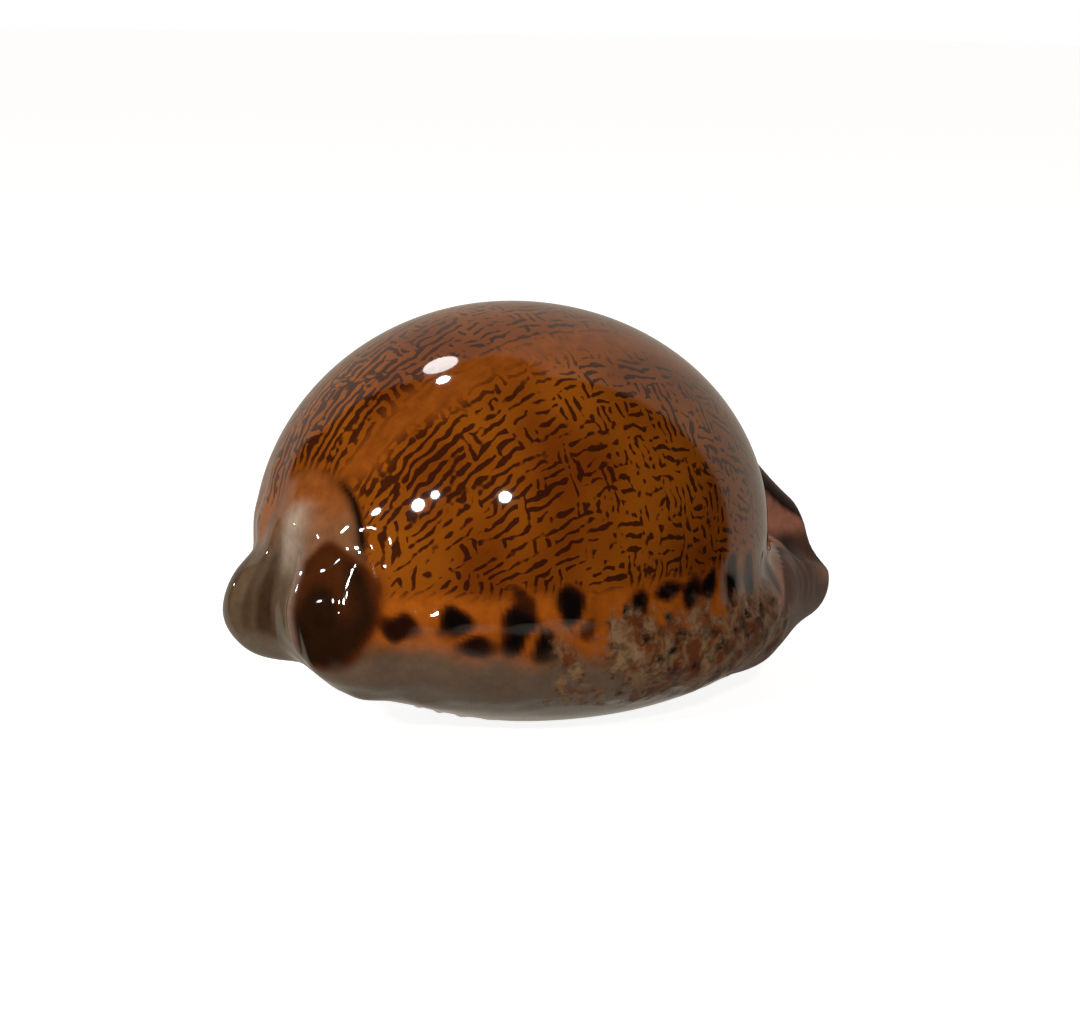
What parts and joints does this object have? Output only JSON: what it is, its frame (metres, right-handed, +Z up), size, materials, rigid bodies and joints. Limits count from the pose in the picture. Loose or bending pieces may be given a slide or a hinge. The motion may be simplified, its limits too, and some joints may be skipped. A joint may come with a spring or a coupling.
{
  "type": "cowrie shell",
  "caption": "Humped, glossy seashell with a flattened base, a long narrow toothed slot underneath and a grooved lobed beak at each end.",
  "frame": {"origin": "middle of the shell's outline in plan, at the level of the ground it rests on", "axes": "+X along the slot towards the anterior end, +Y towards the columellar side, +Z up through the crown"},
  "size_m": [0.0722, 0.0492, 0.0428],
  "materials": {
    "shell": "naturally glossy enamel, amber with dark script markings"
  },
  "bodies": {
    "root": {"cowrie_shell": "shell"}
  },
  "joints": []
}
